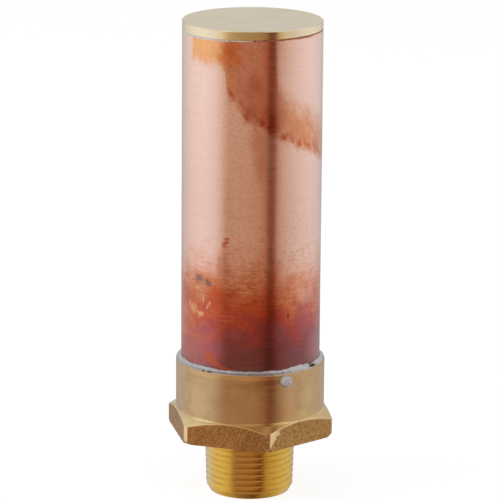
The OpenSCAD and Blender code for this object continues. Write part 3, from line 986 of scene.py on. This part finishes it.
def fillet_points(turns, side):
    """Solder fillet: a hollow slope from crest to lip, z = lip + (crest - lip) * share to the power 1.6.

    Crest, lip and foot wander round the ring, lumps roughen the slope, and two voids dip it.
    Returns the points, how dark each is, from how deep it lies in a void, from nicks and from painted shade
    along the foot at the front, and how coarse the solder is there.
    """
    inner, low = TUBE_HIGH.x + 0.03 * MM, FILLET_LOW.z
    tall = FILLET_HIGH.z - low
    swell = wander(turns, (3, 5, 8, 13, 21), 11)
    fray = wander(turns, (9, 17, 26, 41, 63), 23)
    crumbs = wander(turns, (90, 127, 163, 199), 41)
    coarse = 0.45 + bell(side, 46, 18) + 0.7 * bell(side, -130, 30)
    nicks = bell(side, -33, 2.6) + 0.9 * bell(side, -39, 2.2)
    void = bell(side + 2.0 * fray, 59, 4.2) + 0.8 * bell(side, 150, 5.0)
    sunk = tall * (1 - 0.4 * void)
    crest = sunk * (0.82 + 0.22 * swell + 0.09 * crumbs + (0.20 * fray + 0.25) * coarse)
    lip = sunk * (0.24 + 0.10 * fray * coarse)
    foot = FILLET_HIGH.x + 0.10 * MM * swell + 0.14 * MM * fray * coarse
    share = np.linspace(0, 1, 12)[:, None]
    lump = ripple(turns[None, :], share * 0.02, ((31, 40), (52, -70), (77, 55), (100, 20)), 5) * coarse
    radius = foot + (inner + 0.1 * MM - foot) * share
    height = low + lip + (crest - lip) * share ** 1.6 + 0.10 * MM * lump * np.sin(math.pi * share)
    points = lathe((
        (foot[None, :], np.array([[low]])),
        (radius, np.maximum(height, low + 0.04 * MM)),
        *profile((inner, low + crest), (inner, low, 2)),
        (np.array([[inner]]), np.array([[low]])),
    ), turns)
    first, last = np.ones((1, 1)), np.zeros((3, 1))
    low_part = np.concatenate((first, rise(share, 0.625, -0.625), last))
    hollow = np.concatenate((0 * first, np.sin(math.pi * share ** 0.7), last))
    # Painted shade along the fillet's foot, strongest at the front
    grime = 0.34 * bell(side, 3, 30) * (0.9 + 0.5 * fray)
    dark = void * (0.35 + 0.9 * hollow) + np.maximum(0.8 * nicks, grime) * low_part
    return points, dark, coarse


def drip_points(sizes, turns):
    """Frozen drip on the collar: a lumpy dome with a flat middle and a round edge.

    Its height is 0.8 (1 - share to the 8th) to the 0.8th, with 0.15 (1 - share squared) on it.
    """
    middle = (DRIP_LOW + DRIP_HIGH) / 2
    where = math.atan2(middle.y, middle.x)
    reach = (DRIP_HIGH.z - DRIP_LOW.z) / 2
    tall = Vector((DRIP_HIGH.x, DRIP_LOW.y)).length - sizes.collar_radius
    share = np.concatenate((np.linspace(0.04, 1, 6), np.linspace(1, 0.04, 14)))[:, None]
    front = np.repeat((0.0, 1.0), (6, 14))[:, None]
    edge = 1 + 0.05 * wander(turns, (2, 3, 5, 9), 17)
    lump = ripple(turns[None, :], share, ((3, 0.6), (5, 0.9), (2, 1.3), (7, 1.1)), 29)
    dome = 0.8 * (1 - share ** 8) ** 0.8 + 0.15 * (1 - share ** 2) + 0.35 * lump * share * (1 - share)
    out = sizes.collar_radius + front * tall * dome - 0.06 * MM * (1 - front)
    along = where + reach * share * edge * np.cos(turns) / sizes.collar_radius
    height = middle.z + reach * share * edge * np.sin(turns)
    return np.stack((out * np.cos(along), out * np.sin(along), height), axis=-1)


class ARRESTOR_OT_solder(bpy.types.Operator):
    """Builds the collar's solder fillet, the frozen drip and the line of solder under the cap"""

    bl_idname = "arrestor.solder"
    bl_label = "Solder"

    def execute(self, context):
        sizes, looks, studio = settings(context)
        turns = even_turns(480)
        side = degrees_from_front(turns, studio)

        # The fillet's dark share holds flux in its voids and nicks, and painted shade along its foot
        points, void, coarse = fillet_points(turns, side)
        mesh = grid_mesh("collar_solder_fillet", points, corner=60.0)
        # Painted light: paler at both sides of the fillet, and painted shade along its foot
        paint(mesh, points, flux=void, frosted=coarse - 0.35 + 0.55 * rise(np.abs(side), 50, 25))
        piece = show(mesh, solder_finish("solder_frozen", looks.solder, 0.2))
        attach(piece, "casing")
        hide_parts("collar_solder")

        points = drip_points(sizes, even_turns(64))
        mesh = grid_mesh("solder_drip_frozen", points, ring=False, corner=60.0)
        paint(mesh, points, frosted=0.8)
        piece = show(mesh, solder_finish("solder_drip_dull", looks.solder, 0.6))
        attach(piece, "casing")
        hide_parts("solder_drip")

        # The line under the cap: bright on the left, in crumbs in front, sunk and coppery on the right
        fray = wander(turns, (7, 13, 22, 37), 31)
        crumbs = wander(turns, (19, 34, 47, 71, 93, 131), 37)
        thin = rise(side, -4, 14) * rise(side, 120, -20)
        broken = np.clip(0.25 + 1.3 * crumbs, 0, 1) * bell(side, -6, 22, 4)
        outer = LINE_HIGH.x + (0.02 + 0.04 * fray - 0.22 * thin) * MM
        inner = sizes.spigot_radius + 0.1 * MM
        slant = end_slant(sizes, turns, studio)
        low, high = LINE_LOW.z + slant, LINE_HIGH.z + slant
        points = lathe(profile(
            (inner + 0.1 * MM, low),
            (outer, low, 2),
            (outer + 0.03 * MM, (low + high) / 2, 2),
            (outer, high, 2),
            (inner, high, 2),
        ), turns)
        mesh = grid_mesh("cap_solder_line", points, corner=60.0)
        flux = np.maximum(0.42 * thin, 0.62 * broken)
        paint(mesh, points, flux=flux, frosted=0.7 + fray, coppery=0.9 * thin)
        piece = show(mesh, solder_finish("solder_line_bright", tone(looks.solder, 1.2), 0.0))
        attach(piece, "casing")
        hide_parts("cap_solder")
        return {"FINISHED"}


class ARRESTOR_OT_piston(bpy.types.Operator):
    """Builds the acetal piston with its two seal grooves"""

    bl_idname = "arrestor.piston"
    bl_label = "Piston"

    def execute(self, context):
        sizes, looks = settings(context)[:2]
        outer, groove, well = PISTON_HIGH.x, sizes.groove_radius, sizes.piston_well
        low, high = PISTON_LOW.z, PISTON_HIGH.z
        floor = low + sizes.piston_floor
        bevel, brink, slope = sizes.piston_chamfer, sizes.well_break, sizes.well_fillet
        legs = [(outer - bevel, low, 8), (outer, low + bevel, 3)]
        for node in reversed(SEALS):
            middle = sum(corner.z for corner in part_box(node)) / 2
            foot, crown = middle - sizes.groove_width / 2, middle + sizes.groove_width / 2
            legs += [(outer, foot, 5), (groove, foot, 3), (groove, crown, 4), (outer, crown, 3)]
        legs += [
            (outer, high - bevel, 5),
            (outer - bevel, high, 3),
            (well + brink, high, 5),
            (well, high - brink, 2),
            (well, floor + slope, 10),
            (well - slope, floor, 3),
            (PISTON_POLE, floor, 8),
        ]
        points = lathe(profile((PISTON_POLE, low), *legs), even_turns(192))
        piece = show(grid_mesh("piston_turned", points, ring=False), acetal_finish(looks))
        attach(piece, "piston")
        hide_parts("piston")
        return {"FINISHED"}


def seal_points(sizes, low, high, outer):
    """Squeezed seal ring: a circular section cut flat where it meets the groove and the bore."""
    around = even_turns(40)[:, None]
    middle = (sizes.ring_inner + outer) / 2
    half = (outer - sizes.ring_inner) / 2
    radius = middle + np.clip(sizes.ring_section / 2 * np.cos(around), -half, half)
    height = (low + high) / 2 + (high - low) / 2 * np.sin(around)
    return lathe(((radius, height),), even_turns(160))


class ARRESTOR_OT_seals(bpy.types.Operator):
    """Builds the piston's two seal rings"""

    bl_idname = "arrestor.seals"
    bl_label = "Seal rings"

    def execute(self, context):
        sizes, looks = settings(context)[:2]
        rubber = rubber_finish(looks)
        for node in SEALS:
            low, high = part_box(node)
            mesh = grid_mesh(node + "_moulded", seal_points(sizes, low.z, high.z, high.x), corner=60.0)
            piece = show(mesh, rubber)
            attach(piece, "piston")
            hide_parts(node)
        return {"FINISHED"}


def make_world(fill):
    """White backdrop for what is seen directly, and an even fill for dull surfaces."""
    world = bpy.data.worlds.new("studio_white")
    bpy.context.scene.world = world
    world.use_nodes = True
    world.node_tree.nodes.clear()
    nodes = Nodes(world.node_tree)
    dim, white = (nodes.node("ShaderNodeBackground", {"Color": WHITE, "Strength": level}).outputs[0]
                  for level in (fill, 1.0))
    blend = nodes.node("ShaderNodeMixShader", {0: nodes.seen_directly(), 1: dim, 2: white})
    nodes.node("ShaderNodeOutputWorld", {"Surface": blend.outputs["Shader"]})


def make_floor():
    """Pale floor: white where nothing shades it, darker in the object's shadow."""
    edge = np.linspace(FLOOR_RADIUS, FLOOR_POLE, 24)[:, None]
    under = profile((FLOOR_POLE, -FLOOR_DEPTH), (FLOOR_RADIUS, -FLOOR_DEPTH, 4))
    mesh = grid_mesh("studio_floor", lathe((*under, (edge, 0 * edge)), even_turns(48)), ring=False)
    finish = Finish("floor_pale")
    finish.principled({
        "Base Color": tone(WHITE, FLOOR_GREY), "Roughness": 1.0, "Specular IOR Level": 0.0,
        "Emission Color": WHITE, "Emission Strength": finish.times(finish.seen_directly(), FLOOR_GLOW)})
    floor = show(mesh, finish.material)
    floor.visible_glossy = False


def panel_material():
    """Glow in the colour that is stored on the panels."""
    material = bpy.data.materials.new("panel_light")
    material.use_nodes = True
    nodes = Nodes(material.node_tree)
    nodes.tree.nodes.remove(nodes.tree.nodes["Principled BSDF"])
    stored = nodes.node("ShaderNodeAttribute", attribute_name="panel")
    glow = nodes.node("ShaderNodeEmission", {"Color": stored.outputs["Color"]})
    nodes.feed(nodes.tree.nodes["Material Output"].inputs["Surface"], glow.outputs["Emission"])
    return material


def make_panels(studio):
    """Drum of panels round the object, seen in the metal only: each column has the colour of its angle."""
    turns = even_turns(360)
    points = lathe(profile(
        (DRUM_POLE, DRUM_FOOT - DRUM_BULGE),
        (DRUM_RADIUS, DRUM_FOOT, 12),
        (DRUM_RADIUS, DRUM_HEAD, 45),
        (DRUM_POLE, DRUM_HEAD + DRUM_BULGE, 12),
    ), turns)
    mesh = grid_mesh("studio_panels", points, ring=False)
    side = degrees_from_front(turns, studio)
    shown = np.stack([np.interp(side, PANELS[:, 0], channel) for channel in PANELS[:, 1:].T], axis=-1)

    # A pale band above the camera, a softer lid, and a warm floor with a painted shadow under the object
    height = points[..., 2:]
    reach = np.hypot(points[..., :1], points[..., 1:2])
    below = height < DRUM_FOOT + 0.1
    upper = rise(height, 0.36, 0.12) * rise(height, 1.15, -0.25)
    pale = np.array((0.70, 0.68, 0.65)) - bell(side[:, None], 0, 60) * np.array((0.01, 0.05, 0.11))
    shown = shown + (pale - shown) * upper
    shown = np.where(height > DRUM_HEAD - 0.01, 0.6 * shown + 0.24, shown)
    shown = np.where(below, shown * np.array((1.0, 0.88, 0.74)), shown)
    shown = shown * np.where(below, 0.55 + 0.45 * rise(reach, 1.1, 0.9), 1.0)
    shown = shown * (1 + 0.12 * rise(height, 0.8, 0.8))
    paints = np.full((len(mesh.vertices), 4), 0.5)
    paints[:shown.size // 3, :3] = shown.reshape(-1, 3)
    mesh.attributes.new("panel", "FLOAT_COLOR", "POINT").data.foreach_set("color", paints.ravel())
    drum = show(mesh, panel_material())
    for ray in ("camera", "diffuse", "transmission", "shadow", "volume_scatter"):
        setattr(drum, "visible_" + ray, False)


def make_lamp(name, place, power):
    """Soft square lamp that lights dull surfaces and faces the object's middle."""
    lamp = bpy.data.lights.new(name, "AREA")
    lamp.size = LAMP_SIZE
    lamp.energy = power
    holder = bpy.data.objects.new(name, lamp)
    holder.location = place
    holder.rotation_euler = (LAMP_AIM - Vector(place)).to_track_quat("-Z", "Y").to_euler()
    holder.visible_glossy = False
    bpy.context.scene.collection.objects.link(holder)


def make_camera(studio):
    """Camera at the picture's angle, with small turns for its framing."""
    turn, lift = studio.azimuth, studio.elevation
    back = Vector((math.sin(turn) * math.cos(lift), -math.cos(turn) * math.cos(lift), math.sin(lift)))
    camera = bpy.data.cameras.new("camera_main")
    camera.lens = studio.lens
    camera.sensor_width = 36.0
    camera.clip_start = 0.01
    holder = bpy.data.objects.new("camera_main", camera)
    holder.location = Vector((0.0, 0.0, studio.target)) + studio.distance * back
    aim = (-back).to_track_quat("-Z", "Y")
    aim = aim @ Quaternion((0.0, 1.0, 0.0), studio.pan)
    aim = aim @ Quaternion((1.0, 0.0, 0.0), studio.tilt)
    aim = aim @ Quaternion((0.0, 0.0, 1.0), studio.roll)
    holder.rotation_euler = aim.to_euler()
    bpy.context.scene.collection.objects.link(holder)
    bpy.context.scene.camera = holder


class ARRESTOR_OT_stage(bpy.types.Operator):
    """Builds the pale floor, the light and the camera"""

    bl_idname = "arrestor.stage"
    bl_label = "Studio"

    def execute(self, context):
        studio = context.scene.arrestor_studio
        context.scene.view_settings.view_transform = "Standard"
        make_world(studio.fill)
        make_floor()
        make_panels(studio)
        for name, (place, share) in LAMPS.items():
            make_lamp(name, place, share * studio.lamp_power)
        make_camera(studio)
        return {"FINISHED"}


class ARRESTOR_PT_panel(bpy.types.Panel):
    """Lists the arrestor's pieces in the sidebar"""

    bl_idname = "ARRESTOR_PT_panel"
    bl_label = "Water hammer arrestor"
    bl_space_type = "VIEW_3D"
    bl_region_type = "UI"
    bl_category = "Arrestor"

    def draw(self, context):
        for operator in OPERATORS:
            self.layout.operator(operator.bl_idname)


OPERATORS = (
    ARRESTOR_OT_stage,
    ARRESTOR_OT_adapter,
    ARRESTOR_OT_barrel,
    ARRESTOR_OT_cap,
    ARRESTOR_OT_solder,
    ARRESTOR_OT_piston,
    ARRESTOR_OT_seals,
)
GROUPS = {
    "arrestor_sizes": ArrestorSizes,
    "arrestor_finishes": ArrestorFinishes,
    "arrestor_studio": ArrestorStudio,
}


def register():
    """Registers the property groups, the operators and the panel."""
    for name, group in GROUPS.items():
        bpy.utils.register_class(group)
        setattr(bpy.types.Scene, name, PointerProperty(type=group))
    for operator in OPERATORS:
        bpy.utils.register_class(operator)
    bpy.utils.register_class(ARRESTOR_PT_panel)


def unregister():
    """Takes everything out again, in the opposite order."""
    bpy.utils.unregister_class(ARRESTOR_PT_panel)
    for operator in reversed(OPERATORS):
        bpy.utils.unregister_class(operator)
    for name, group in GROUPS.items():
        delattr(bpy.types.Scene, name)
        bpy.utils.unregister_class(group)


def main():
    """Builds the whole scene."""
    register()
    bpy.ops.arrestor.stage()
    bpy.ops.arrestor.adapter()
    bpy.ops.arrestor.barrel()
    bpy.ops.arrestor.cap()
    bpy.ops.arrestor.solder()
    bpy.ops.arrestor.piston()
    bpy.ops.arrestor.seals()


if __name__ == "__main__":
    main()
